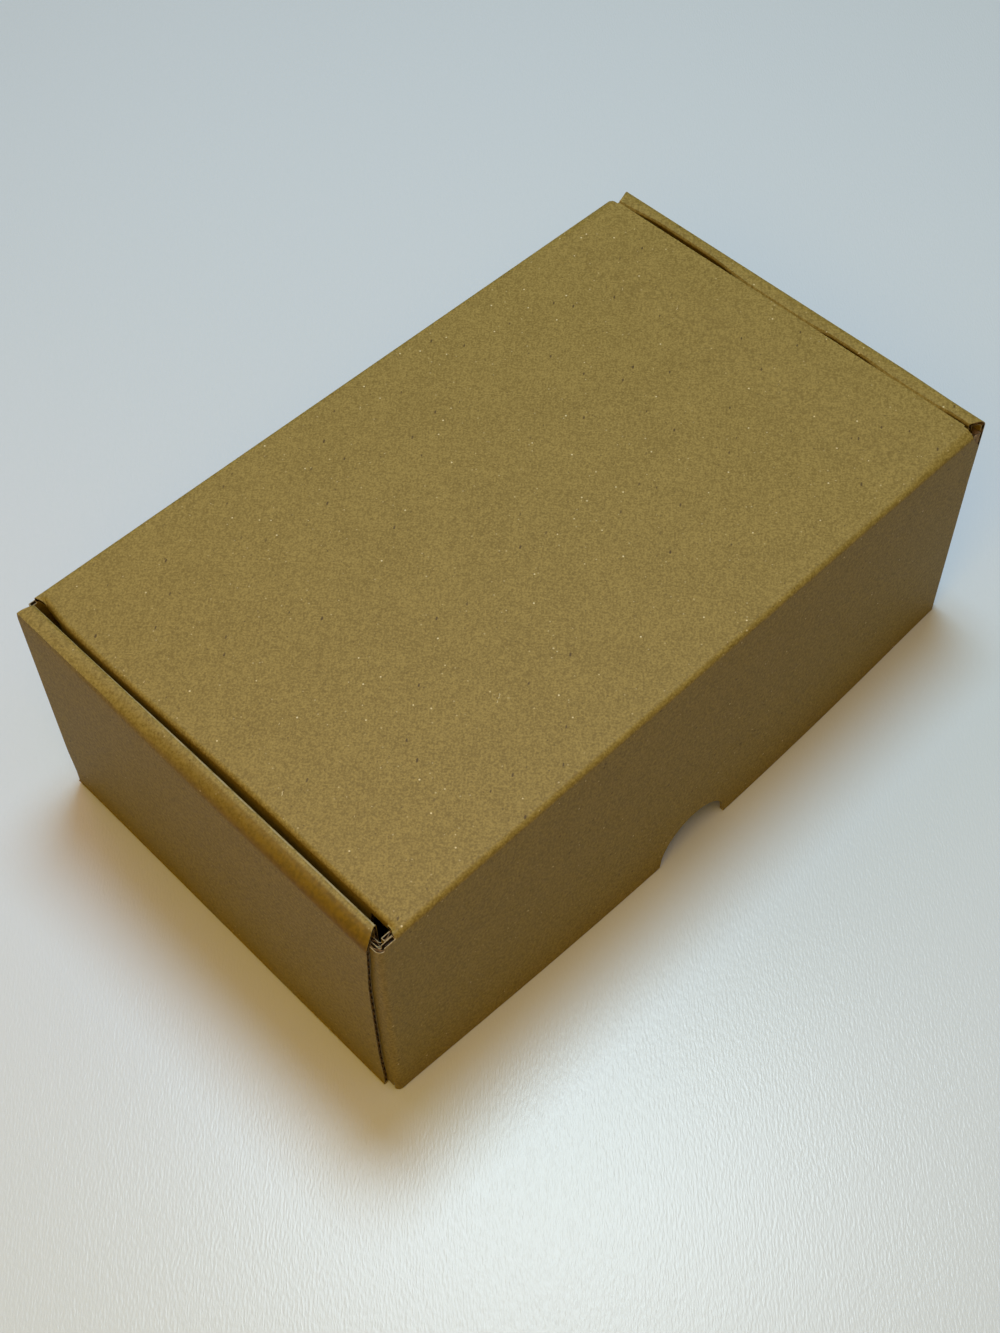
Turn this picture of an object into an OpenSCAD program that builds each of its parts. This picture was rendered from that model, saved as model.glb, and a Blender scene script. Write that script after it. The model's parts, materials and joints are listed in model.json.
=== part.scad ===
// Corrugated mailer box, shut, with rolled side walls and a front flap that hangs outside.
// One die-cut sheet of kraft corrugated board makes the tray, the lid and the front flap.
// Millimetres, +Z up, the notched long side at -Y, the origin on the ground at the middle.

/* [Box] */
// Clear length inside, between the rolled side walls
inside_l = 200; // [150:1:320]
// Clear depth inside, from the front wall to the back wall
inside_d = 123; // [90:1:200]
// Clear height inside, from the base to the lid
inside_h = 73; // [55:1:120]
// Thickness of the corrugated board
board = 1.2; // [1:0.1:1.6]

/* [Folds] */
// Inner radius of a scored fold
fold_in = 0.4; // [0.2:0.1:1]
// Inner radius of the soft shoulder at the top of a side wall
shoulder_in = 1.2; // [0.4:0.1:1.2]
// Inner radius of the sharp crease where the roll turns down inside
crease_in = 0.1; // [0.05:0.05:0.5]

/* [Gaps] */
// Gap on each side of an ear, between the plies of a side wall
ear_gap = 0.2; // [0.15:0.05:0.5]
// Gap between a corner flap and the inner panel of a side wall
pinch_gap = 0.1; // [0.05:0.05:0.4]
// Gap between the front flap and the front wall
flap_gap = 0.4; // [0.3:0.1:1]
// Gap between a dust flap and the rolled side wall
lid_gap = 0.9; // [0.5:0.1:2]
// Gap between the lid and the top edge of the front wall
rest_gap = 0.3; // [0.3:0.1:1]

/* [Side walls] */
// Height of the rolled walls above the top of the lid
roll_rise = 0.8; // [0:0.1:2]
// Distance from the inside of the front wall back to the end of a rolled wall
roll_front = 0.8; // [0.6:0.1:2]
// Distance from the inside of the back wall forward to the end of a rolled wall
roll_back = 0.6; // [0.4:0.1:2]
// Gap under the inner panel, between its edge and the base
foot_gap = 0.2; // [0.1:0.1:0.6]
// Width of the locking tab at the foot of each inner panel
tab_w = 28; // [12:1:40]
// Distance from the front of the box to the locking tab
tab_y = 40; // [20:1:60]
// Clearance of a locking tab in its slot
tab_fit = 0.3; // [0.2:0.1:0.6]

/* [Corner flaps] */
// Length of the corner flaps that lie inside the rolled walls
corner_reach = 45; // [20:1:55]
// Gap above and below a corner flap
corner_gap = 0.4; // [0.2:0.1:3]

/* [Lid] */
// Depth of the dust flaps at the ends of the lid
dust_drop = 30; // [15:1:45]
// Distance from the front and back folds of the lid to a dust flap
dust_inset = 9; // [8:0.5:20]
// Slant of the ends of a dust flap
dust_slant = 5; // [1:0.5:12]

/* [Front flap] */
// How far the middle of the free edge bows out
flap_bow = 3.2; // [0:0.1:5]
// Height of the free edge above the ground
flap_foot = 0.5; // [0.3:0.1:3]
// Radius of the thumb notch in the free edge
notch_r = 12.3; // [6:0.1:20]
// Clearance of an ear past the base and past the end of a rolled wall
ear_clear = 0.5; // [0.4:0.1:2]

/* [Finger hole] */
// Radius of the finger hole across the front fold of the tray
hole_r = 14; // [8:0.5:22]

/* [Hidden] */
$fn = 96;
kraft = [0.57, 0.45, 0.26];
kraft_dark = [0.40, 0.31, 0.16];
lap = 1; // how far a cutter passes a face

// Outer radii of the folds
fold_r = board + fold_in;
shoulder_r = board + shoulder_in;
crease_r = board + crease_in;

// Plies of a side wall, each place measured inwards from the outer face of the box
ear_u = board + ear_gap;
corner_u = ear_u + board + ear_gap;
inner_u = corner_u + board + pinch_gap;
roll_w = inner_u + board;
lid_u = roll_w + lid_gap;

// Outside of the shut box
outer_l = inside_l + 2 * roll_w;
front_wall_y = board + flap_gap;
outer_d = front_wall_y + board + inside_d + board;
lid_top = board + inside_h + board;
roll_top = lid_top + roll_rise;
half_l = outer_l / 2;

// Places along the depth, from the front face of the box
front_fold_y = front_wall_y + fold_r;
back_fold_y = outer_d - fold_r;
roll_y0 = front_wall_y + board + roll_front;
roll_y1 = outer_d - board - roll_back;
front_wall_top = lid_top - board - rest_gap;

// The lid and the front flap turn about the outermost line of their folds
hinge_in = fold_r * (1 - sqrt(0.5));
lid_hinge_y = outer_d - hinge_in;
flap_hinge_y = hinge_in;
hinge_z = lid_top - hinge_in;
crease_l = outer_l - 2 * (lid_u + fold_in);

// Front flap: the plate between its two corner folds, and the reach of its ears
plate_l = outer_l - 2 * (ear_u + fold_r);
plate_cols = 32;
plate_rows = 6;
ear_back_r = norm([lid_hinge_y - roll_y0, roll_top - hinge_z]) + ear_clear;
ear_foot_r = hinge_z - board - ear_clear;
ear_reach = outer_d / 4;
ear_top = lid_top - fold_r - board;

// Cross-section (across, up) of a quarter fold with its centre at the origin
module quarter_fold(outer_r, from_angle) {
    rotate(from_angle)
        intersection() {
            difference() {
                circle(r = outer_r);
                circle(r = outer_r - board);
            }
            square(outer_r);
        }
}

// One eighth of a full ring, for a fold that is split between two panels: the half beside
// the wall, or the half beside the lid
module wall_half_fold(outer_r) {
    intersection() {
        difference() {
            circle(r = outer_r);
            circle(r = outer_r - board);
        }
        polygon([[0, 0], [2 * outer_r, 0], [2 * outer_r, 2 * outer_r]]);
    }
}

module lid_half_fold(outer_r) {
    intersection() {
        difference() {
            circle(r = outer_r);
            circle(r = outer_r - board);
        }
        polygon([[0, 0], [2 * outer_r, 2 * outer_r], [0, 2 * outer_r]]);
    }
}

// Stretches a (depth, height) section to a length centred on x = 0
module along_x(length) {
    rotate([90, 0, 90])
        linear_extrude(length, center = true)
            children();
}

// Stretches an (x, height) section from y0 to y1
module along_y(y0, y1) {
    translate([0, y1, 0])
        rotate([90, 0, 0])
            linear_extrude(y1 - y0)
                children();
}

module both_ends() {
    children();
    mirror([1, 0, 0]) children();
}

// Puts the front face of the box where the middle of the bowed box is at y = 0
module place() {
    translate([0, (flap_bow - outer_d) / 2, 0]) children();
}

// Section of a rolled side wall, from its fold at the base over to the inner panel
module roll_section() {
    translate([fold_r, fold_r]) quarter_fold(fold_r, 180);
    translate([0, fold_r]) square([board, roll_top - shoulder_r - fold_r]);
    translate([shoulder_r, roll_top - shoulder_r]) quarter_fold(shoulder_r, 90);
    translate([shoulder_r, roll_top - board]) square([roll_w - shoulder_r - crease_r, board]);
    translate([roll_w - crease_r, roll_top - crease_r]) quarter_fold(crease_r, 0);
    translate([inner_u, board + foot_gap])
        square([board, roll_top - crease_r - board - foot_gap]);
}

module rolled_wall() {
    along_y(roll_y0, roll_y1) translate([-half_l, 0]) roll_section();
    translate([-half_l + inner_u, tab_y, tab_fit])
        cube([board, tab_w, 2 * board + foot_gap]);
}

// A corner flap folded back from the end of the front wall, inside the roll
module front_corner_flap() {
    bottom = board + corner_gap;
    height = front_wall_top - fold_r - bottom;
    translate([-half_l + corner_u, 0, bottom])
        linear_extrude(height) {
            translate([fold_r, front_fold_y]) quarter_fold(fold_r, 180);
            translate([0, front_fold_y]) square([board, corner_reach]);
        }
}

module back_corner_flap() {
    bottom = board + corner_gap;
    height = front_wall_top - fold_r - bottom;
    translate([-half_l + corner_u, 0, bottom])
        linear_extrude(height) {
            translate([fold_r, back_fold_y]) quarter_fold(fold_r, 90);
            translate([0, back_fold_y - corner_reach]) square([board, corner_reach]);
        }
}

module front_wall() {
    along_x(outer_l - 2 * (corner_u + fold_r)) {
        translate([front_fold_y, fold_r]) quarter_fold(fold_r, 180);
        translate([front_wall_y, fold_r]) square([board, front_wall_top - fold_r]);
    }
}

// The back wall, with its half of the lid fold
module back_wall() {
    along_x(outer_l - 2 * (corner_u + fold_r)) {
        translate([back_fold_y, fold_r]) quarter_fold(fold_r, 270);
        translate([outer_d - board, fold_r]) square([board, lid_top - 2 * fold_r]);
    }
    along_x(crease_l) translate([back_fold_y, lid_top - fold_r]) wall_half_fold(fold_r);
}

module base() {
    translate([-half_l + fold_r, front_fold_y, 0])
        cube([outer_l - 2 * fold_r, back_fold_y - front_fold_y, board]);
}

module tab_slots() {
    both_ends()
        translate([-half_l + inner_u - tab_fit, tab_y - tab_fit, -lap])
            cube([board + 2 * tab_fit, tab_w + 2 * tab_fit, board + lap + foot_gap / 2]);
}

// A round hole in the flat sheet, across the fold between base and front wall
module finger_hole() {
    translate([0, front_fold_y, fold_r])
        rotate([90, 0, 0])
            cylinder(h = fold_r + lap, r = hole_r);
    translate([0, front_fold_y, -lap])
        cylinder(h = fold_r + lap, r = hole_r);
    translate([-hole_r, front_wall_y - lap, -lap])
        cube([2 * hole_r, fold_r + lap, fold_r + lap]);
}

module tray() {
    color(kraft_dark) place()
        union() {
            difference() {
                union() {
                    base();
                    front_wall();
                    back_wall();
                }
                tab_slots();
                finger_hole();
            }
            both_ends() {
                rolled_wall();
                front_corner_flap();
                back_corner_flap();
            }
        }
}

// A dust flap, folded down along one end of the lid
module dust_flap() {
    y0 = dust_inset;
    y1 = outer_d - dust_inset;
    z1 = lid_top - fold_r;
    z0 = lid_top - dust_drop;
    along_y(y0, y1)
        translate([-half_l + lid_u + fold_r, z1]) quarter_fold(fold_r, 90);
    translate([-half_l + lid_u, 0, 0])
        rotate([90, 0, 90])
            linear_extrude(board)
                polygon([[y0, z1], [y0 + dust_slant, z0], [y1 - dust_slant, z0], [y1, z1]]);
}

module lid() {
    fold_x = -half_l + lid_u + fold_r;
    color(kraft) place()
        union() {
            translate([fold_x, fold_r, lid_top - board])
                cube([-2 * fold_x, outer_d - 2 * fold_r, board]);
            translate([-crease_l / 2, fold_r, lid_top - board])
                cube([crease_l, dust_inset - fold_r, board]);
            translate([-crease_l / 2, outer_d - dust_inset, lid_top - board])
                cube([crease_l, dust_inset - fold_r, board]);
            along_x(crease_l) {
                translate([fold_r, lid_top - fold_r]) mirror([1, 0]) lid_half_fold(fold_r);
                translate([back_fold_y, lid_top - fold_r]) lid_half_fold(fold_r);
            }
            both_ends() dust_flap();
        }
}

// The bowed plate of the front flap: straight at the top fold, a parabola at the free edge
function plate_x(i) = plate_l * (i / plate_cols - 0.5);
function plate_z(j) = flap_foot + (lid_top - fold_r - flap_foot) * j / plate_rows;
function bow_out(i, j) = -flap_bow * (1 - pow(2 * i / plate_cols - 1, 2)) * (1 - j / plate_rows);
function plate_index(side, i, j) = (side * (plate_cols + 1) + i) * (plate_rows + 1) + j;
plate_points = [
    for (side = [0, 1], i = [0:plate_cols], j = [0:plate_rows])
        [plate_x(i), bow_out(i, j) + side * board, plate_z(j)]
];
plate_faces = concat(
    [for (i = [0:plate_cols - 1], j = [0:plate_rows - 1], half = [0, 1])
        half == 0
            ? [plate_index(0, i, j), plate_index(0, i, j + 1), plate_index(0, i + 1, j + 1)]
            : [plate_index(0, i, j), plate_index(0, i + 1, j + 1), plate_index(0, i + 1, j)]],
    [for (i = [0:plate_cols - 1], j = [0:plate_rows - 1], half = [0, 1])
        half == 0
            ? [plate_index(1, i, j), plate_index(1, i + 1, j + 1), plate_index(1, i, j + 1)]
            : [plate_index(1, i, j), plate_index(1, i + 1, j), plate_index(1, i + 1, j + 1)]],
    [for (j = [0:plate_rows - 1])
        [plate_index(1, 0, j), plate_index(1, 0, j + 1), plate_index(0, 0, j + 1), plate_index(0, 0, j)]],
    [for (j = [0:plate_rows - 1], i = plate_cols)
        [plate_index(0, i, j), plate_index(0, i, j + 1), plate_index(1, i, j + 1), plate_index(1, i, j)]],
    [for (i = [0:plate_cols - 1])
        [plate_index(0, i + 1, 0), plate_index(1, i + 1, 0), plate_index(1, i, 0), plate_index(0, i, 0)]],
    [for (i = [0:plate_cols - 1], j = plate_rows)
        [plate_index(0, i, j), plate_index(1, i, j), plate_index(1, i + 1, j), plate_index(0, i + 1, j)]]
);

// An ear, folded back from the end of the flap into the gap inside a rolled wall. Its back
// edge swings clear of the wall's end as the lid lifts, its foot clear of the base.
module ear() {
    translate([-half_l + ear_u, 0, flap_foot])
        linear_extrude(ear_top - flap_foot)
            translate([fold_r, fold_r]) quarter_fold(fold_r, 180);
    difference() {
        intersection() {
            translate([-half_l + ear_u, fold_r, flap_foot])
                cube([board, ear_reach, ear_top - flap_foot]);
            translate([-half_l, flap_hinge_y, hinge_z])
                rotate([0, 90, 0])
                    cylinder(h = roll_w, r = ear_foot_r);
        }
        translate([-half_l, lid_hinge_y, hinge_z])
            rotate([0, 90, 0])
                cylinder(h = roll_w, r = ear_back_r);
    }
}

module front_flap() {
    color(kraft_dark) place()
        union() {
            difference() {
                polyhedron(plate_points, plate_faces);
                translate([0, -flap_bow - lap, flap_foot])
                    rotate([-90, 0, 0])
                        cylinder(h = flap_bow + board + 2 * lap, r = notch_r);
            }
            along_x(crease_l)
                translate([fold_r, lid_top - fold_r]) mirror([1, 0]) wall_half_fold(fold_r);
            both_ends() ear();
        }
}

tray();
lid();
front_flap();
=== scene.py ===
import json
import math

import bmesh
import bpy
from mathutils import Matrix, Vector


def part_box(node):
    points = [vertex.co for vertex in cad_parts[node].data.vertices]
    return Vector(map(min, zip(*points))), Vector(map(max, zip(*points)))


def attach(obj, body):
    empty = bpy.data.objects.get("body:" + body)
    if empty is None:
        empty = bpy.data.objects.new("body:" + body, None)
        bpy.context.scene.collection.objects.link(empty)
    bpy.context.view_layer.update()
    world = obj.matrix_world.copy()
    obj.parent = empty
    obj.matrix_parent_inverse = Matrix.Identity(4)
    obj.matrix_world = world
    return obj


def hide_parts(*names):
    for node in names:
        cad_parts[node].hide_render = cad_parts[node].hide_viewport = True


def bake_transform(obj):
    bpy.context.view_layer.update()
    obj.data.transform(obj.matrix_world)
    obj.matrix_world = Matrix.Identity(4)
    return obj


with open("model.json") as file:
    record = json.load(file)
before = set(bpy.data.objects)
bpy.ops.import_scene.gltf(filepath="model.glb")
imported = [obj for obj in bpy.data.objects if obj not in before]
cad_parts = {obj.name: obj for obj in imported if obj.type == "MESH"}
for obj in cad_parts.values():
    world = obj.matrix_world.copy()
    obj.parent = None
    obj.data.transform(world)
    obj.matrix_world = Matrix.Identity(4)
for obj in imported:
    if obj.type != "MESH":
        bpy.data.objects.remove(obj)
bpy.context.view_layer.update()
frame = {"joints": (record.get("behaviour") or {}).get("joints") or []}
scene = bpy.context.scene
scene.view_settings.view_transform = "Standard"


# The tray's base, front wall and back wall.
# One sheet of brown single-wall board, scored and folded up. Its flutes run from front to
# back, so they stand upright in these two walls, and show wherever the sheet is cut across.
MM = 0.001
BOARD = 1.2 * MM
LINER = 0.19 * MM
FOLD_R = 1.6 * MM

# A joint's line lies on the outer face, halfway round its fold.
HINGE_IN = FOLD_R * (1 - math.sqrt(0.5))
hinge = {j["name"]: Vector(j["pos_m"]) for j in frame["joints"]}
LID_HINGE, FLAP_HINGE = hinge["lid_hinge"], hinge["flap_hinge"]
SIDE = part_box("tray")[1].x
FRONT = FLAP_HINGE.y - HINGE_IN
BACK = LID_HINGE.y + HINGE_IN
TOP = LID_HINGE.z + HINGE_IN

WALL_Y = FRONT + 1.6 * MM
WALL_TOP = TOP - BOARD - 0.8 * MM
# How far in from the side a corner flap and the inner panel of a side wall stand.
CORNER_U = 2.8 * MM
INNER_U = 4.1 * MM
ROLL_W = INNER_U + BOARD
WRAP_X = SIDE - CORNER_U - FOLD_R
LID_GAP = 0.9 * MM
CREASE_X = SIDE - ROLL_W - LID_GAP
SKIN = 2.0 * MM
PANEL_STEP = 10 * MM
HOLE_R, HOLE_KNIFE = 14 * MM, 8 * MM
NOTCH_X = -1.9 * MM
TAB_Y, TAB_W, TAB_FIT = FRONT + 40 * MM, 28 * MM, 0.3 * MM


def add_node(tree, kind, settings=None, inputs=None, output=0):
    """Adds a node with its settings, and the values or links of its sockets."""
    node = tree.nodes.new(kind)
    for key, value in (settings or {}).items():
        setattr(node, key, value)
    for key, value in (inputs or {}).items():
        if isinstance(value, Wire):
            tree.links.new(value.socket, node.inputs[key])
        else:
            node.inputs[key].default_value = value
    return Wire(tree, node.outputs[output])


class Wire:
    """A shader socket that takes part in Python arithmetic."""

    def __init__(self, tree, socket):
        self.tree = tree
        self.socket = socket

    def maths(self, operation, *values):
        settings, inputs = {"operation": operation}, dict(enumerate(values))
        return add_node(self.tree, "ShaderNodeMath", settings, inputs)

    def __add__(self, other):
        return self.maths("ADD", self, other)

    def __sub__(self, other):
        return self.maths("SUBTRACT", self, other)

    def __rsub__(self, other):
        return self.maths("SUBTRACT", other, self)

    def __mul__(self, other):
        return self.maths("MULTIPLY", self, other)

    __radd__ = __add__
    __rmul__ = __mul__

    def other(self, output):
        """Another output of the node that this one comes from."""
        return Wire(self.tree, self.socket.node.outputs[output])

    def rise(self, low, high):
        """0 at low, 1 at high, with soft ends."""
        return add_node(
            self.tree, "ShaderNodeMapRange", {"interpolation_type": "SMOOTHSTEP"},
            {"Value": self, "From Min": low, "From Max": high}, "Result",
        )


class Finish:
    """One material, built node by node on the object's own coordinates in millimetres."""

    def __init__(self, name):
        self.material = bpy.data.materials.new(name)
        self.material.use_nodes = True
        self.tree = self.material.node_tree
        self.shader = self.tree.nodes["Principled BSDF"]
        self.mm = self.scaled(self.node("ShaderNodeTexCoord", output="Object"), 1 / MM)
        self.x = self.node("ShaderNodeSeparateXYZ", inputs={0: self.mm}, output="X")
        self.y, self.z = self.x.other("Y"), self.x.other("Z")

    def node(self, kind, settings=None, inputs=None, output=0):
        return add_node(self.tree, kind, settings, inputs, output)

    def scaled(self, vector, times):
        inputs = {0: vector, "Scale": times}
        return self.node("ShaderNodeVectorMath", {"operation": "SCALE"}, inputs)

    def noise(self, size, detail=2.0, place=None, rough=0.5):
        """Cloudy noise whose blobs are about size millimetres across."""
        place = place or self.mm
        inputs = {"Vector": place, "Scale": 1 / size, "Detail": detail, "Roughness": rough}
        return self.node("ShaderNodeTexNoise", inputs=inputs)

    def stretched(self, angles, lengths):
        """The place with its own turned axes drawn out, so that a pattern on it is long."""
        return self.node(
            "ShaderNodeMapping", {"vector_type": "TEXTURE"},
            {"Vector": self.mm, "Rotation": angles, "Scale": lengths},
        )

    def mix(self, factor, first, second):
        """A colour between two colours."""
        inputs = {0: factor, 6: first, 7: second}
        return self.node("ShaderNodeMix", {"data_type": "RGBA"}, inputs, 2)

    def bump(self, height, strength, depth):
        inputs = {"Height": height, "Strength": strength, "Distance": depth}
        return self.node("ShaderNodeBump", inputs=inputs)

    def flecks(self, cell, radius, share, angles=(0, 0, 0), lengths=(1, 1, 1), drift=0.0):
        """Specks or fibres of pulp: a small blob in a share of the cells of a cell pattern,
        all in millimetres. With drift, long ones curl."""
        place = self.stretched(angles, lengths)
        if drift:
            curl = {"Vector": self.mm, "Scale": 0.8}
            wander = self.node("ShaderNodeTexNoise", inputs=curl, output="Color")
            moved = {0: place, 1: self.scaled(wander, drift)}
            place = self.node("ShaderNodeVectorMath", {"operation": "ADD"}, moved)
        grid = {"Vector": place, "Scale": 1 / cell}
        middle = self.node("ShaderNodeTexVoronoi", inputs=grid, output="Distance")
        pick = self.node("ShaderNodeSeparateColor", inputs={0: middle.other("Color")})
        return pick.rise(share, share * 0.4) * (middle * cell).rise(radius, radius * 0.65)

    def set(self, **links):
        """Links or sets the shader's own sockets, by their names with _ for a space."""
        for key, value in links.items():
            socket = self.shader.inputs[key.replace("_", " ")]
            if isinstance(value, Wire):
                self.tree.links.new(value.socket, socket)
            else:
                socket.default_value = value


def srgb(r, g, b):
    """A colour as a screen shows it, 0 to 255, as the linear colour of a shader."""
    channels = [c / 255 for c in (r, g, b)]
    linear = [c / 12.92 if c <= 0.04045 else ((c + 0.055) / 1.055) ** 2.4 for c in channels]
    return (*linear, 1)


KRAFT_SHADE = srgb(110, 90, 33)
KRAFT_PALE = srgb(142, 121, 59)
FLECK_PALE = srgb(225, 208, 160)
FLECK_DARK = srgb(64, 44, 12)


def kraft(name, tint=None):
    """Recycled liner: cloudy pulp, a fine tooth, pale and dark specks and a few stray fibres."""
    f = Finish(name)
    cloud = f.noise(9, 4, rough=0.6)
    tooth = f.noise(0.52, 3, rough=0.6)
    drawn = (2.5, 0.83, 1.2)
    streak = f.noise(0.7, 2, place=f.stretched((0.2, 0.1, 0.7), drawn))
    cross = f.noise(0.7, 2, place=f.stretched((0.3, 0.2, 2.3), drawn))
    grain = tooth * 0.56 + streak * 0.22 + cross * 0.22 + (cloud - 0.5) * 0.08
    tone = f.mix(grain.rise(0.38, 0.62), KRAFT_SHADE, KRAFT_PALE)

    specks = f.flecks(cell=2.1, radius=0.27, share=0.16)
    dust = f.flecks(cell=1.3, radius=0.24, share=0.14, angles=(0.4, 0.2, 0.9))
    pale = specks + dust * 0.4
    chips = f.flecks(
        cell=2.2, radius=0.36, share=0.19, angles=(0.1, 0.2, 0.6), lengths=(2.2, 0.85, 1)
    )
    dots = f.flecks(cell=1.4, radius=0.24, share=0.3)
    dark = chips * 0.9 + dots * 0.6

    thread, hair = (6, 0.8, 0.8), (5, 0.85, 0.85)
    fibres = f.flecks(3.2, 0.16, 0.24, angles=(0.1, 0.1, 0.5), lengths=thread, drift=1.4)
    fibres = fibres + f.flecks(3.4, 0.15, 0.22, angles=(0.1, 0.2, 2.1), lengths=thread, drift=1.4)
    hairs = f.flecks(5.5, 0.17, 0.13, angles=(0.2, 0.1, 1.3), lengths=hair, drift=1.8)
    tone = f.mix(dark * 0.9, tone, FLECK_DARK)
    tone = f.mix(pale * 0.7, tone, FLECK_PALE)
    tone = f.mix(fibres * 0.5, tone, FLECK_PALE)
    tone = f.mix(hairs * 0.8, tone, FLECK_DARK)
    if tint:
        tone = tint(f, tone)

    height = tooth * 0.5 + f.noise(0.22, 2) * 0.3 + pale * 0.25
    f.set(
        Base_Color=tone, Roughness=tooth * 0.12 + 0.55, Normal=f.bump(height, 0.35, 0.08 * MM),
        Specular_IOR_Level=0.25,
    )
    return f.material


def bare(name, light, dark, size):
    """Cut fibres and the uncoated paper inside the board; also the painted shade deep in the
    flutes.
    """
    f = Finish(name)
    f.set(Base_Color=f.mix(f.noise(size, 3).rise(0.3, 0.7), dark, light), Roughness=0.9)
    return f.material


LINER_FACE = kraft("kraft_liner")
CUT = bare("cut_fibre", srgb(160, 144, 108), srgb(122, 104, 68), 0.6)
# Painted shade: the sunken core of a raw edge is coloured near black, as the shade deep in the
# flutes.
FLUTE_SHADE = bare("painted_flute_shade", srgb(44, 28, 12), srgb(26, 14, 6), 1.5)
MEDIUM = bare("flute_medium", srgb(128, 102, 66), srgb(84, 62, 36), 0.8)
CUT_SLOT, FLUTE_SHADE_SLOT, MEDIUM_SLOT = 1, 2, 3


class Sheet:
    """One face of a board, walked through its runs and folds from a first line of edges."""

    def __init__(self, first, last, heading, cuts=0):
        self.bm = bmesh.new()
        ends = [self.bm.verts.new(p) for p in (first, last)]
        edge = self.bm.edges.new(ends)
        if cuts:
            bmesh.ops.subdivide_edges(self.bm, edges=[edge], cuts=cuts)
        self.line = self.bm.edges[:]
        self.across = (Vector(last) - Vector(first)).normalized()
        self.heading = Vector(heading).normalized()

    def go(self, length, steps=1):
        for _ in range(steps):
            made = bmesh.ops.extrude_edge_only(self.bm, edges=self.line)["geom"]
            moved = [g for g in made if isinstance(g, bmesh.types.BMVert)]
            bmesh.ops.translate(self.bm, verts=moved, vec=self.heading * (length / steps))
            self.line = [g for g in made if isinstance(g, bmesh.types.BMEdge)]
        return self

    def fold(self, radius, degrees, steps):
        """Turns about the line's own direction, right-handed where degrees are positive."""
        toward = self.across.cross(self.heading) * (1 if degrees > 0 else -1)
        centre = self.line[0].verts[0].co + toward * radius
        geom = list({v for e in self.line for v in e.verts}) + self.line
        angle = math.radians(degrees)
        turned = bmesh.ops.spin(
            self.bm, geom=geom, cent=centre, axis=self.across, angle=angle, steps=steps
        )
        self.line = [g for g in turned["geom_last"] if isinstance(g, bmesh.types.BMEdge)]
        self.heading.rotate(Matrix.Rotation(angle, 3, self.across))
        return self

    def follow(self, route, step, way=1, inset=0.0, least=8):
        """Walks a route of runs, (length, 0), and folds, (radius, degrees), in steps of about
        one length. A route on the board's middle is inset from its outer face."""
        for size, degrees in route:
            if degrees:
                arc = math.radians(abs(degrees)) * (size - inset)
                self.fold(size - inset, way * degrees, max(least, round(arc / step)))
            else:
                self.go(size, max(1, round(size / step)))
        return self

    def facing(self, outward):
        """Turns the faces so that the first of them looks outward."""
        self.bm.normal_update()
        self.bm.faces.ensure_lookup_table()
        if self.bm.faces[0].normal.dot(Vector(outward)) < 0:
            bmesh.ops.reverse_faces(self.bm, faces=self.bm.faces[:])
        return self.bm


WELD = 1e-7


def trim(bm, faces, point, normal, clear=False):
    """Scores faces along a plane, or cuts away what lies beyond it."""
    geom = set(faces)
    for f in faces:
        geom.update(f.edges)
        geom.update(f.verts)
    bmesh.ops.bisect_plane(
        bm, geom=list(geom), dist=WELD, plane_co=point, plane_no=normal, clear_outer=clear
    )


def drop(bm, test):
    """Removes the faces whose middle passes the test."""
    gone = [f for f in bm.faces if test(f.calc_center_median())]
    bmesh.ops.delete(bm, geom=gone, context="FACES")


def knife(bm):
    """A tool that a board is cut with. What it leaves is a raw edge."""
    for f in bm.faces:
        f.material_index = CUT_SLOT
    data = bpy.data.meshes.new("knife")
    bm.to_mesh(data)
    bm.free()
    obj = bpy.data.objects.new("knife", data)
    scene.collection.objects.link(obj)
    return obj


def drum(radius, length, centre, axis):
    """A round knife."""
    bm = bmesh.new()
    turn = Vector((0, 0, 1)).rotation_difference(Vector(axis)).to_matrix().to_4x4()
    bmesh.ops.create_cone(
        bm, cap_ends=True, segments=int(64 + radius / MM), radius1=radius, radius2=radius,
        depth=length, matrix=Matrix.Translation(centre) @ turn,
    )
    return knife(bm)


def tab_slot(side):
    """The slot in the base that a side wall's tab locks into."""
    low = Vector((SIDE - ROLL_W - TAB_FIT, TAB_Y - TAB_FIT, -MM))
    high = Vector((SIDE - INNER_U + TAB_FIT, TAB_Y + TAB_W + TAB_FIT, BOARD + 0.1 * MM))
    middle, size = (low + high) / 2, high - low
    middle.x *= side
    bm = bmesh.new()
    place = Matrix.Translation(middle) @ Matrix.Diagonal((*size, 1))
    bmesh.ops.create_cube(bm, size=1, matrix=place)
    return knife(bm)


SHARP = math.radians(32)


def shade(data):
    """Smooth over bends, sharp at creases and raw edges."""
    bm = bmesh.new()
    bm.from_mesh(data)
    bm.normal_update()
    for f in bm.faces:
        f.smooth = True
    for e in bm.edges:
        e.smooth = len(e.link_faces) == 2 and e.calc_face_angle(0) < SHARP
    bm.to_mesh(data)
    bm.free()


CORE_DEPTH = 1.1 * MM
CORE_TAPER = 0.01 * MM


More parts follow.
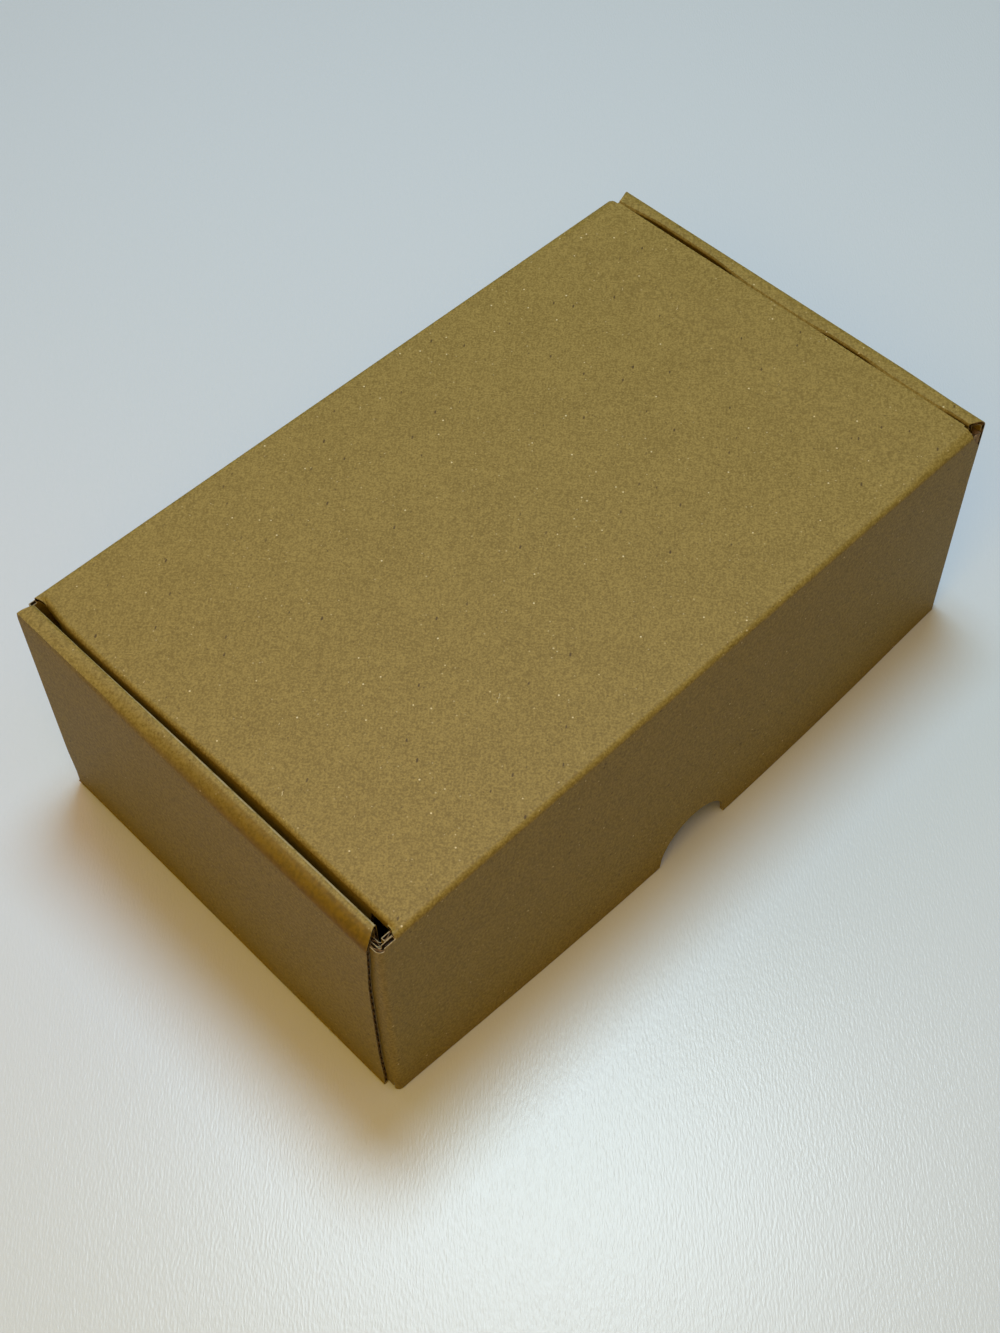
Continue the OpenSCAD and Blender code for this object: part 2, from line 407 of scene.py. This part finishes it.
def board(name, bm, open_edge, face=LINER_FACE, knives=()):
    """Gives a sheet the board's thickness behind its outer face, cuts it with the knives, and
    sinks the core of its raw edges between the two liners, painted dark as the shade deep in
    the flutes. open_edge picks those edges by the middle and the normal of a cut face."""
    data = bpy.data.meshes.new(name)
    bm.to_mesh(data)
    bm.free()
    obj = bpy.data.objects.new(name, data)
    scene.collection.objects.link(obj)
    for material in (face, CUT, FLUTE_SHADE, MEDIUM):
        data.materials.append(material)
    thick = obj.modifiers.new("thickness", "SOLIDIFY")
    thick.thickness = BOARD
    thick.offset = -1
    thick.use_even_offset = True
    thick.material_offset_rim = CUT_SLOT
    for tool in knives:
        hole = obj.modifiers.new("hole", "BOOLEAN")
        hole.operation = "DIFFERENCE"
        hole.solver = "EXACT"
        hole.object = tool
    bpy.context.view_layer.update()
    shaped = obj.evaluated_get(bpy.context.evaluated_depsgraph_get())
    done = bpy.data.meshes.new_from_object(shaped)
    obj.modifiers.clear()
    obj.data = done
    for tool in knives:
        bpy.data.objects.remove(tool)
    bm = bmesh.new()
    bm.from_mesh(done)
    bm.normal_update()
    cuts = [f for f in bm.faces if f.material_index == CUT_SLOT]
    rim = [f for f in cuts if open_edge(f.calc_center_median(), f.normal)]
    if rim:
        bmesh.ops.inset_region(bm, faces=rim, thickness=LINER, use_even_offset=True)
        inner = bmesh.ops.inset_region(
            bm, faces=rim, thickness=CORE_TAPER, depth=-CORE_DEPTH, use_even_offset=False
        )["faces"]
        # The sunken core takes the painted flute shade.
        for f in rim + inner:
            f.material_index = FLUTE_SHADE_SLOT
    bm.to_mesh(done)
    bm.free()
    shade(done)
    return obj


HALF = BOARD / 2
FLUTE_PITCH = 3.3 * MM
FLUTE_STEPS = 12
PAPER = 0.14 * MM
SWING = HALF - LINER - 0.09 * MM
RIBBON_IN = 0.12 * MM


def flutes(first, last, heading, route, way=1, phase=0.0, shape=None):
    """The wavy medium between the liners: a ribbon from first to last, walked along a route
    at half the board's depth, that swings from one liner to the other."""
    step = FLUTE_PITCH / FLUTE_STEPS
    bm = Sheet(first, last, heading).follow(route, step, way, inset=HALF, least=4).bm
    bm.normal_update()
    for i, v in enumerate(bm.verts):
        v.co += v.normal * SWING * math.sin((i // 2) * 2 * math.pi / FLUTE_STEPS + phase)
    if shape:
        shape(bm)
    bmesh.ops.solidify(bm, geom=bm.faces[:], thickness=PAPER)
    bmesh.ops.recalc_face_normals(bm, faces=bm.faces[:])
    for f in bm.faces:
        f.material_index = MEDIUM_SLOT
        f.smooth = True
    return bm


def add(obj, bm):
    """Joins a part to a piece."""
    part = bpy.data.meshes.new("part")
    bm.to_mesh(part)
    bm.free()
    whole = bmesh.new()
    whole.from_mesh(obj.data)
    whole.from_mesh(part)
    whole.to_mesh(obj.data)
    whole.free()
    bpy.data.meshes.remove(part)


def belongs(obj, body):
    """A rigid piece of board that stands for the CAD node of its body."""
    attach(obj, body)
    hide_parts(body)


wrap = Sheet((-WRAP_X, WALL_Y, WALL_TOP), (WRAP_X, WALL_Y, WALL_TOP), (0, 0, -1), cuts=24)
wrap.follow(
    [(WALL_TOP - FOLD_R, 0), (FOLD_R, 90), (BACK - WALL_Y - 2 * FOLD_R, 0), (FOLD_R, 90),
     (TOP - 2 * FOLD_R - SKIN, 0), (SKIN, 0)],
    PANEL_STEP,
)
wrap_bm = wrap.facing((0, -1, 0))
for side in (-1, 1):
    trim(wrap_bm, wrap_bm.faces[:], (side * CREASE_X, 0, 0), (1, 0, 0))
# The middle of the back wall's top belongs to the fold that carries the lid.
drop(wrap_bm, lambda c: c.y > BACK - MM and c.z > TOP - FOLD_R - SKIN and abs(c.x) < CREASE_X)
walls = board(
    "tray_base_and_walls",
    wrap_bm,
    lambda c, n: n.z > 0.5 and c.z > WALL_TOP - MM,
    knives=(
        drum(HOLE_R, HOLE_KNIFE, (NOTCH_X, WALL_Y + FOLD_R, 0), (0, 0, 1)),
        drum(HOLE_R, HOLE_KNIFE, (NOTCH_X, WALL_Y, FOLD_R), (0, 1, 0)),
        tab_slot(-1),
        tab_slot(1),
    ),
)
middle_y = WALL_Y + HALF
add(walls, flutes(
    (-WRAP_X, middle_y, WALL_TOP - CORE_DEPTH), (-WRAP_X, middle_y, WALL_TOP - RIBBON_IN),
    (1, 0, 0), [(2 * WRAP_X, 0)],
))
belongs(walls, "tray")


# The corner flaps.
# The ends of the front and back walls, folded in and held between the plies of the side
# walls. The corners that show are raw, so the liners and flutes are seen from above.
CORNER_FOOT = 1.6 * MM
CORNER_TOP = WALL_TOP - FOLD_R
CORNER_LENGTH = 45 * MM
CORNER_STEP = 8 * MM
CORNER_ROUTE = [(FOLD_R, 90), (CORNER_LENGTH, 0)]
CORNER_PHASE = 1.0
for side in (-1, 1):
    for place, y, inward in (("front", WALL_Y, 1), ("back", BACK, -1)):
        x, way = side * WRAP_X, side * inward
        sheet = Sheet((x, y, CORNER_FOOT), (x, y, CORNER_TOP), (side, 0, 0), cuts=6)
        corner = board(
            f"corner_flap_{place}_{'left' if side < 0 else 'right'}",
            sheet.follow(CORNER_ROUTE, CORNER_STEP, way).facing((0, -inward, 0)),
            lambda c, n: n.z > 0.5,
        )
        core_y = y + inward * HALF
        add(corner, flutes(
            (x, core_y, CORNER_TOP - CORE_DEPTH), (x, core_y, CORNER_TOP - RIBBON_IN),
            (side, 0, 0), CORNER_ROUTE, way, CORNER_PHASE,
        ))
        belongs(corner, "tray")


# The rolled side walls.
# Each is folded up, over and down again inside, where a tab locks it to the base. The
# shoulder stays soft and the inner crease is sharp. Both ends are raw and show the flutes.
ROLL_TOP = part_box("tray")[1].z
SHOULDER_R = 2.4 * MM
CREASE_R = 1.3 * MM
ROLL_STEP = 4 * MM
ROLL_PHASE = 0.6
FOOT = BOARD + 0.2 * MM
ROLL_FRONT = WALL_Y + BOARD + 0.8 * MM
ROLL_BACK = BACK - BOARD - 0.6 * MM
ROLL_ROUTE = [
    (CORNER_U, 0), (FOLD_R, 90), (ROLL_TOP - SHOULDER_R - FOLD_R, 0), (SHOULDER_R, 90),
    (ROLL_W - SHOULDER_R - CREASE_R, 0), (CREASE_R, 90), (ROLL_TOP - CREASE_R - FOOT, 0),
]
# Painted shade: the left shoulder's darker gold, where it turns from the light.
PAINTED_SHADE_GOLD, PAINTED_SHADE_GOLD_DARK = srgb(112, 84, 6), srgb(92, 68, 0)
# A thin pale line along the left crease beside the lid.
CREASE_PALE = srgb(206, 196, 168)


def shoulder_shade_and_crease(f, tone):
    """Painted shade over the left shoulder: a darker gold towards the front, where it turns
    from the light. The crease beside the lid has a thin pale line. All is in millimetres, and
    u is in from the side."""
    u = f.x + SIDE / MM
    height = ROLL_TOP / MM
    forward = f.y.rise(FRONT / MM + 112, FRONT / MM + 6)
    shade_mask = f.z.rise(height - 4.4, height - 2.6) * u.rise(3.7, 2.9)
    shade_tone = f.mix(f.noise(1.2, 3).rise(0.3, 0.7), PAINTED_SHADE_GOLD_DARK, PAINTED_SHADE_GOLD)
    # Painted shade over the left shoulder, deeper towards the front.
    tone = f.mix(shade_mask * forward * 0.95, tone, shade_tone)
    crease = u.rise(4.3, 4.6) * u.rise(5.2, 4.8) * f.z.rise(height - 1.2, height - 0.5)
    return f.mix(crease * f.noise(2.5, 2).rise(0.2, 0.6) * 0.32, tone, CREASE_PALE)


ROLLED_FACE = kraft("kraft_rolled", shoulder_shade_and_crease)


def ease(value, low, high):
    """0 at low, 1 at high, with soft ends."""
    t = max(0.0, min(1.0, (value - low) / (high - low)))
    return t * t * (3 - 2 * t)


SLUMP, SLUMP_WIDTH = 1.35, 3.4
WIDEST_SLIT = 1.25
BULGE, BULGE_HEIGHT, BULGE_SPREAD, TAB_PULL = 0.35, 5, 7, 5


def left_fold(co, u, at, down):
    """The left shoulder slumps towards the front. Gives how far the inner panel stands back
    from the lid, and the skew of the front end at the outer and at the inner panel."""
    on_top = ease(down, 7, 2)
    firm_at_back = 1 - 0.85 * ease(at, 60, 120)
    co.z -= SLUMP * MM * max(0.0, 1 - u / SLUMP_WIDTH) * on_top * firm_at_back
    back = (0.15 + 0.4 * ease(at, 60, 110)) * on_top
    return back, 1.45 * ease(down, 0, 28) - 0.3 * ease(down, 58, 74) - 0.95, 1.4


def right_fold(u, at, down):
    """The same for the right wall: its inner panel touches the lid, but for three slits."""
    slits = WIDEST_SLIT * ease(abs(at - 100), 26, 8)
    slits = slits + 0.65 * ease(abs(at - 42), 14, 5) + 0.6 * ease(at, 14, 9)
    undercut = min(1.0, 1.5 * slits) * 1.2 * ease(down, 0.2, 2.2)
    back = min(WIDEST_SLIT, slits) - 0.45 + undercut
    return back * ease(down, 40, 14), -2.6, -0.4


def hand_fold(co, side):
    """The small ways in which a folded wall departs from its pattern: a slumped shoulder on
    the left, ends that aren't square, and a foot that bulges beside its tab. All of it is in
    millimetres: u in from the side, at back from the front, down from the top."""
    u, at, down = (SIDE - abs(co.x)) / MM, (co.y - FRONT) / MM, (ROLL_TOP - co.z) / MM
    if side < 0:
        (back, outer, inner), back_end = left_fold(co, u, at, down), 1.0
    else:
        (back, outer, inner), back_end = right_fold(u, at, down), 1.6
    co.x += side * back * MM * ease(u, 2.2, 4.6)
    skew = outer + (inner - outer) * ease(u, -0.5, 6)
    co.y += skew * MM * ease(at, 45, 4)
    co.y -= back_end * MM * ease(u, 0, 5) * ease(at, 100, 125)
    if u < BOARD / MM + 0.1 and co.z > 1.5 * MM:
        from_tab = [(co.y - y) / (TAB_PULL * MM) for y in (TAB_Y, TAB_Y + TAB_W)]
        loose = 1 - sum(math.exp(-(d ** 2)) for d in from_tab)
        height = (co.z / MM - BULGE_HEIGHT) / BULGE_SPREAD
        co.x -= side * BULGE * MM * loose * math.exp(-(height ** 2))


ON_FACE = 0.05 * MM


def square_off(co, centre_x, centre_z, way, radius, amount=0.95):
    """Presses the outer face of a rounded fold out towards a sharp corner."""
    dx, dz = (abs(co.x) - centre_x) * way, co.z - centre_z
    reach = math.hypot(dx, dz)
    if dx > 0 and dz > 0 and abs(reach - radius) < ON_FACE:
        push = (reach / max(dx, dz)) ** amount
        co.x += math.copysign((push - 1) * dx * way, co.x)
        co.z += (push - 1) * dz


def at_foot(c):
    """Whether a face is part of the inner panel's foot, where the tab is cut."""
    return c.z < FOOT and abs(c.x) < WRAP_X - 0.1 * MM


def rolled_wall(name, side):
    """One side wall: side is -1 on the left, 1 on the right."""
    start = side * WRAP_X
    sheet = Sheet((start, ROLL_FRONT, 0), (start, ROLL_BACK, 0), (side, 0, 0), cuts=60)
    sheet.follow(ROLL_ROUTE, ROLL_STEP, -side).go(FOOT - TAB_FIT)
    bm = sheet.facing((0, 0, -1))
    for y in (TAB_Y, TAB_Y + TAB_W):
        foot = [f for f in bm.faces if at_foot(f.calc_center_median())]
        trim(bm, foot, (0, y, 0), (0, 1, 0))
    drop(bm, lambda c: at_foot(c) and not TAB_Y < c.y < TAB_Y + TAB_W)
    wall = board(
        name, bm, lambda c, n: abs(n.y) > 0.7 and c.z > FOOT, ROLLED_FACE, (tab_slot(side),)
    )
    for y, inward in ((ROLL_FRONT, 1), (ROLL_BACK, -1)):
        add(wall, flutes(
            (start, y + inward * RIBBON_IN, HALF), (start, y + inward * CORE_DEPTH, HALF),
            (side, 0, 0), ROLL_ROUTE, -side * inward, ROLL_PHASE * side,
        ))
    for v in wall.data.vertices:
        at = (v.co.y - FRONT) / MM
        if side > 0:
            square_off(v.co, SIDE - ROLL_W + CREASE_R, ROLL_TOP - CREASE_R, -1, CREASE_R)
        firm = 0.35 * ease(at, 10, 30) if side > 0 else 0.75 * ease(at, 60, 120)
        square_off(v.co, SIDE - SHOULDER_R, ROLL_TOP - SHOULDER_R, 1, SHOULDER_R, firm)
        hand_fold(v.co, side)
    shade(wall.data)
    belongs(wall, "tray")


rolled_wall("rolled_wall_left", -1)
rolled_wall("rolled_wall_right", 1)


# The lid with its dust flaps.
# The lid is the sheet's middle panel, and a dust flap is folded down inside at each end.
# Its front and back folds are pieces of their own.
DUST_DROP = 30 * MM
DUST_INSET = 9 * MM
DUST_SLANT = 5 * MM
FOLD_Z = TOP - FOLD_R
lid_y0, lid_y1 = FRONT + FOLD_R + SKIN, BACK - FOLD_R - SKIN
DUST_FOOT = TOP - DUST_DROP
STUB = 1.2 * MM
STUB_Z = FOLD_Z - STUB
dust_y0, dust_y1 = FRONT + DUST_INSET, BACK - DUST_INSET
dust_slope = DUST_SLANT / (DUST_DROP - FOLD_R - STUB)


def lifted(x):
    """The lid rides a little high along its right edge, level with the side wall."""
    return 0.7 * MM * ease(x, SIDE - 40 * MM, SIDE - 8 * MM)


# The left fold is soft and leaves a slit beside the side wall. The right one is hard against it.
SOFT_R = 1.3 * MM
SLIT_L, SLIT_R = LID_GAP + 1.0 * MM, 0.35 * MM
EDGE_L, EDGE_R = -SIDE + ROLL_W + SLIT_L, SIDE - ROLL_W - SLIT_R
FLAT_L, FLAT_R = EDGE_L + SOFT_R, EDGE_R - FOLD_R
LID_STEP = 6 * MM
lid_sheet = Sheet((EDGE_L, lid_y0, DUST_FOOT), (EDGE_L, lid_y1, DUST_FOOT), (0, 0, 1), cuts=24)
lid_sheet.follow(
    [(DUST_DROP - SOFT_R, 0), (SOFT_R, 90), (EDGE_R - EDGE_L - SOFT_R - FOLD_R, 0), (FOLD_R, 90),
     (DUST_DROP - FOLD_R, 0)],
    LID_STEP,
)
lid_bm = lid_sheet.facing((-1, 0, 0))
for y in (dust_y0, dust_y1):
    trim(lid_bm, lid_bm.faces[:], (0, y, 0), (0, 1, 0))
trim(lid_bm, lid_bm.faces[:], (0, 0, STUB_Z), (0, 0, 1))
drop(lid_bm, lambda c: c.z < STUB_Z and not dust_y0 < c.y < dust_y1)
for y, way in ((dust_y0, -1), (dust_y1, 1)):
    dust = [f for f in lid_bm.faces if f.calc_center_median().z < STUB_Z]
    trim(lid_bm, dust, (0, y, STUB_Z), (0, way, -dust_slope), clear=True)
lid = board("lid_panel", lid_bm, lambda c, n: c.z < STUB_Z + 0.1 * MM)
SLANT_IN = 0.14 * MM
for x in (EDGE_L + HALF, EDGE_R - HALF):
    for y, inward in ((dust_y0 + DUST_SLANT, 1), (dust_y1 - DUST_SLANT, -1)):
        add(lid, flutes(
            (x, y + inward * SLANT_IN, DUST_FOOT), (x, y + inward * CORE_DEPTH, DUST_FOOT),
            (0, -inward * dust_slope, 1), [(math.hypot(DUST_SLANT, STUB_Z - DUST_FOOT), 0)],
        ))
# The slit on the left narrows towards the back.
NARROWING, TO_CORNER = 1.1 * MM, 9 * MM
for v in lid.data.vertices:
    if v.co.x > 0:
        square_off(v.co, FLAT_R, FOLD_Z, 1, FOLD_R)
    v.co.z += lifted(v.co.x)
    inside = ease(v.co.y, lid_y0, lid_y0 + TO_CORNER) * ease(v.co.y, lid_y1, lid_y1 - TO_CORNER)
    leftward = ease(v.co.y, FRONT + 40 * MM, FRONT + 105 * MM)
    leftward = leftward * ease(v.co.x, -SIDE + 16 * MM, -SIDE + 8 * MM)
    v.co.x -= NARROWING * leftward * inside
shade(lid.data)
belongs(lid, "lid")


# The two folds of the lid.
# Plain scored folds in the same sheet: one joins the lid to the back wall, the other joins
# the front flap to the lid.
FLAP_FOOT = 0.5 * MM
FLAP_BOW, FLAP_LEAN, FLAP_SWING = 2.55 * MM, 0.3 * MM, 0.45 * MM
EAR_U = 1.4 * MM
PLATE_X = SIDE - EAR_U - FOLD_R
FOLD_ROUTE = [(SKIN, 0), (FOLD_R, 90), (SKIN, 0)]
FOLD_STEP = 0.5 * MM
FOLD_IN_L, FOLD_IN_R = 0.85 * MM, 1.2 * MM


def bowed(v):
    """Moves a point of the front flap: it is straight along its top fold and bows out towards
    its free edge, which stands off the box a little more on the right."""
    hang = max(0.0, (FOLD_Z - v.z) / (FOLD_Z - FLAP_FOOT))
    across = max(-1.0, min(1.0, v.x / PLATE_X))
    v.y -= (FLAP_BOW * (1 - across ** 2) ** 1.2 + FLAP_LEAN + FLAP_SWING * across) * hang


def fold_skin(name, start, heading, outward, bodies):
    """A fold across the box, from one panel's last line to the other's first. Its left end
    curves down with the lid's soft edge."""
    sheet = Sheet((-CREASE_X, *start), (CREASE_X, *start), heading, cuts=48)
    bm = sheet.follow(FOLD_ROUTE, FOLD_STEP, least=12).facing(outward)
    for part in (0, 0.5, 0.8, 0.95):
        trim(bm, bm.faces[:], (FLAT_L - FOLD_IN_L - part * SOFT_R, 0, 0), (1, 0, 0))
    for v in bm.verts:
        if v.co.y < 0:
            bowed(v.co)
    skin = board(name, bm, lambda c, n: abs(n.x) > 0.7)
    for v in skin.data.vertices:
        flat = ease(min(v.co.y - FRONT, BACK - v.co.y), 0.8 * MM, FOLD_R + MM)
        out = ease(abs(v.co.x), 80 * MM, CREASE_X)
        if v.co.x < 0:
            v.co.x += FOLD_IN_L * flat * out
            over = max(0.0, min(FLAT_L - v.co.x, 0.95 * SOFT_R))
            v.co.z -= (SOFT_R - math.sqrt(SOFT_R ** 2 - over ** 2)) * flat
        elif v.co.y < 0:
            v.co.x += FOLD_IN_R * ease(v.co.z, TOP - 0.5 * MM, FOLD_Z - SKIN) * out
        v.co.z += lifted(v.co.x) * flat
    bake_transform(skin)
    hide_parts(*bodies)


fold_skin(
    "lid_fold", (BACK, FOLD_Z - SKIN), (0, 0, 1), (0, 1, 0), ("tray", "lid"),
)
fold_skin(
    "front_flap_fold", (lid_y0, TOP), (0, -1, 0), (0, 0, 1), ("lid", "front_flap"),
)


# The front flap.
# It hangs outside the front wall and bows out at its free edge, where a thumb notch is cut.
# An ear at each end is tucked back between the plies of the side wall.
NOTCH_R, NOTCH_KNIFE = 12.3 * MM, 12 * MM
EAR_TOP = FOLD_Z - 0.6 * MM
EAR_REACH = 31.75 * MM
ear_x = SIDE - EAR_U
ear_start = FRONT + FOLD_R + EAR_REACH

# An ear's back edge clears the side wall about the lid's fold, and its foot clears the base
# about its own.
EAR_CLEAR = 0.5 * MM
ear_back_r = (Vector((ROLL_FRONT, ROLL_TOP)) - LID_HINGE.yz).length + EAR_CLEAR
ear_foot_r = FLAP_HINGE.z - BOARD - EAR_CLEAR

FLAP_TOP = FOLD_Z + 0.6 * MM
FLAP_STEP = 4 * MM
FLAP_ROUTE = [(EAR_REACH, 0), (FOLD_R, 90), (2 * PLATE_X, 0), (FOLD_R, 90), (EAR_REACH, 0)]
flap_sheet = Sheet(
    (-ear_x, ear_start, FLAP_FOOT), (-ear_x, ear_start, FLAP_TOP), (0, -1, 0), cuts=18
)
flap_bm = flap_sheet.follow(FLAP_ROUTE, FLAP_STEP).facing((-1, 0, 0))
for side in (-1, 1):
    trim(flap_bm, flap_bm.faces[:], (side * CREASE_X, 0, 0), (1, 0, 0))
for z in (FOLD_Z - SKIN, EAR_TOP):
    trim(flap_bm, flap_bm.faces[:], (0, 0, z), (0, 0, 1))
drop(flap_bm, lambda c: c.z > FOLD_Z - SKIN and abs(c.x) < CREASE_X)
drop(flap_bm, lambda c: c.z > EAR_TOP and abs(c.x) > PLATE_X)

# The upper right corner is cut on a slant, and the foot of the ears on a curve.
SLANT_FROM, SLANT_WAY = (SIDE - 4.7 * MM, 0, FOLD_Z - SKIN), (1.15, 0, 1)
EAR_CUTS = range(3, 30, 4)
right_corner = [f for f in flap_bm.faces if f.calc_center_median().x > CREASE_X]
trim(flap_bm, right_corner, SLANT_FROM, SLANT_WAY, clear=True)
for degrees in EAR_CUTS:
    ears = [f for f in flap_bm.faces if f.calc_center_median().y > FRONT + FOLD_R]
    down = Vector((0, math.sin(math.radians(degrees)), -math.cos(math.radians(degrees))))
    trim(flap_bm, ears, FLAP_HINGE + down * ear_foot_r, down, clear=True)
for v in flap_bm.verts:
    bowed(v.co)


def ear_knife(side):
    """Clears an ear's back edge past the end of the rolled wall as the lid lifts."""
    centre = (side * (SIDE - ROLL_W / 2), LID_HINGE.y, LID_HINGE.z)
    return drum(ear_back_r, ROLL_W, centre, (1, 0, 0))


def flap_flutes(bm):
    """Trims the flap's medium at the notch and the ears, then bows it."""
    for v in bm.verts:
        if v.co.z < 10 * MM:
            if abs(v.co.x - NOTCH_X) < NOTCH_R:
                v.co.z += math.sqrt(NOTCH_R ** 2 - (v.co.x - NOTCH_X) ** 2)
            elif v.co.y > FRONT + FOLD_R:
                reach = math.sqrt(ear_foot_r ** 2 - (v.co.y - FLAP_HINGE.y) ** 2)
                v.co.z = FLAP_HINGE.z - reach + RIBBON_IN
        bowed(v.co)
    drop(bm, lambda c: c.y > FRONT + FOLD_R and (c.yz - LID_HINGE.yz).length < ear_back_r + 2 * MM)


flap = board(
    "front_flap_panel",
    flap_bm,
    lambda c, n: n.z < -0.3 or (c.y > FRONT + FOLD_R and abs(n.x) < 0.5) or abs(c.x) > CREASE_X,
    knives=(
        drum(NOTCH_R, NOTCH_KNIFE, (NOTCH_X, FRONT, FLAP_FOOT), (0, 1, 0)),
        ear_knife(-1),
        ear_knife(1),
    ),
)
core_x = ear_x - HALF
add(flap, flutes(
    (-core_x, ear_start, FLAP_FOOT + RIBBON_IN), (-core_x, ear_start, EAR_TOP - RIBBON_IN),
    (0, -1, 0), FLAP_ROUTE, shape=flap_flutes,
))
belongs(flap, "front_flap")


# The table top.
# A pale, faintly glossy sheet with a fine tooth, which carries the box. For the camera alone it
# fades to the plain backdrop far behind the box.
TABLE_HALF = 4
FADE_FROM, FADE_TO = 430, 1000
BACKDROP = srgb(190, 198, 200)
floor_bm = bmesh.new()
bmesh.ops.create_grid(floor_bm, x_segments=1, y_segments=1, size=TABLE_HALF)
floor_data = bpy.data.meshes.new("table_top")
floor_bm.to_mesh(floor_data)
floor_bm.free()
table = bpy.data.objects.new("table_top", floor_data)
scene.collection.objects.link(table)

tabletop = Finish("pale_table")
to_camera = tabletop.node("ShaderNodeLightPath", output="Is Camera Ray")
weave = tabletop.noise(0.55, 3, place=tabletop.stretched((0, 0, 0.81), (3.5, 1, 1)))
tabletop.set(
    Base_Color=srgb(200, 207, 207), Roughness=0.27, Normal=tabletop.bump(weave, 1.0, 0.08 * MM),
    Specular_Tint=(1.0, 0.80, 0.66, 1), Specular_IOR_Level=0.42, Emission_Strength=1.0,
    Emission_Color=tabletop.mix(to_camera, (0, 0, 0, 1), (0.0, 0.004, 0.022, 1)),
)
length = {"operation": "LENGTH"}
away = tabletop.node("ShaderNodeVectorMath", length, {0: tabletop.mm}, "Value")
plain = tabletop.node("ShaderNodeEmission", inputs={"Color": BACKDROP})
lit = Wire(tabletop.tree, tabletop.shader.outputs[0])
fade = away.rise(FADE_FROM, FADE_TO) * to_camera
surface = tabletop.node("ShaderNodeMixShader", inputs={0: fade, 1: lit, 2: plain})
out = tabletop.tree.nodes["Material Output"]
tabletop.tree.links.new(surface.socket, out.inputs["Surface"])
floor_data.materials.append(tabletop.material)


# The lamps and the room.
# A cool ceiling lamp and a window behind the box, a cool lamp over its front and a warm fill
# from low on the left. The room's own light is warm, and the camera sees the plain backdrop.
def lamp(name, place, size, watts, colour):
    """A round lamp aimed at the middle of the box."""
    data = bpy.data.lights.new(name, "AREA")
    data.shape = "DISK"
    data.size = size
    data.energy = watts
    data.color = colour
    obj = bpy.data.objects.new(name, data)
    aim = Vector((0, 0, ROLL_TOP / 2)) - Vector(place)
    obj.matrix_world = Matrix.Translation(place) @ aim.to_track_quat("-Z", "Y").to_matrix().to_4x4()
    scene.collection.objects.link(obj)


lamp("ceiling_lamp", (0.16, 0.14, 1.0), size=0.35, watts=8.2, colour=(0.49, 0.74, 1.0))
lamp("window", (0, 0.8, 1.0), size=0.7, watts=1.6, colour=(0.80, 0.60, 1.0))
lamp("warm_fill", (-0.27, -0.15, 0.47), size=0.3, watts=1.0, colour=(1.0, 0.58, 0.06))
lamp("front_lamp", (-0.05, -0.3, 1.0), size=0.5, watts=1.3, colour=(0.45, 0.50, 1.0))

world = bpy.data.worlds.new("room")
scene.world = world
world.use_nodes = True
room = world.node_tree
glow = room.nodes["Background"]
glow.inputs["Color"].default_value = (0.29, 0.21, 0.02, 1)
seen = add_node(room, "ShaderNodeBackground", inputs={"Color": BACKDROP})
ray = add_node(room, "ShaderNodeLightPath", output="Is Camera Ray")
lights = {0: ray, 1: Wire(room, glow.outputs[0]), 2: seen}
choice = add_node(room, "ShaderNodeMixShader", inputs=lights)
room.links.new(choice.socket, room.nodes["World Output"].inputs[0])


# The camera.
# It stands where the photo was taken, before the near left corner and above it, and was fitted
# to the corners of the box. Its focal length is in pixels of the photo's longer side.
SENSOR, LONG_SIDE, FOCAL = 36, 1333, 1828.3
HEADING, DIP, ROLL = math.radians(43.644), math.radians(54.639), math.radians(-1.137)
EYE = Vector((-SIDE - 97.97 * MM, FRONT - 142.31 * MM, 418.44 * MM))
camera_data = bpy.data.cameras.new("camera")
camera_data.sensor_width = SENSOR
camera_data.lens = SENSOR * FOCAL / LONG_SIDE
camera = bpy.data.objects.new("camera", camera_data)
turn = Matrix.Rotation(-HEADING, 4, "Z") @ Matrix.Rotation(math.pi / 2 - DIP, 4, "X")
camera.matrix_world = Matrix.Translation(EYE) @ turn @ Matrix.Rotation(ROLL, 4, "Z")
scene.collection.objects.link(camera)
scene.camera = camera
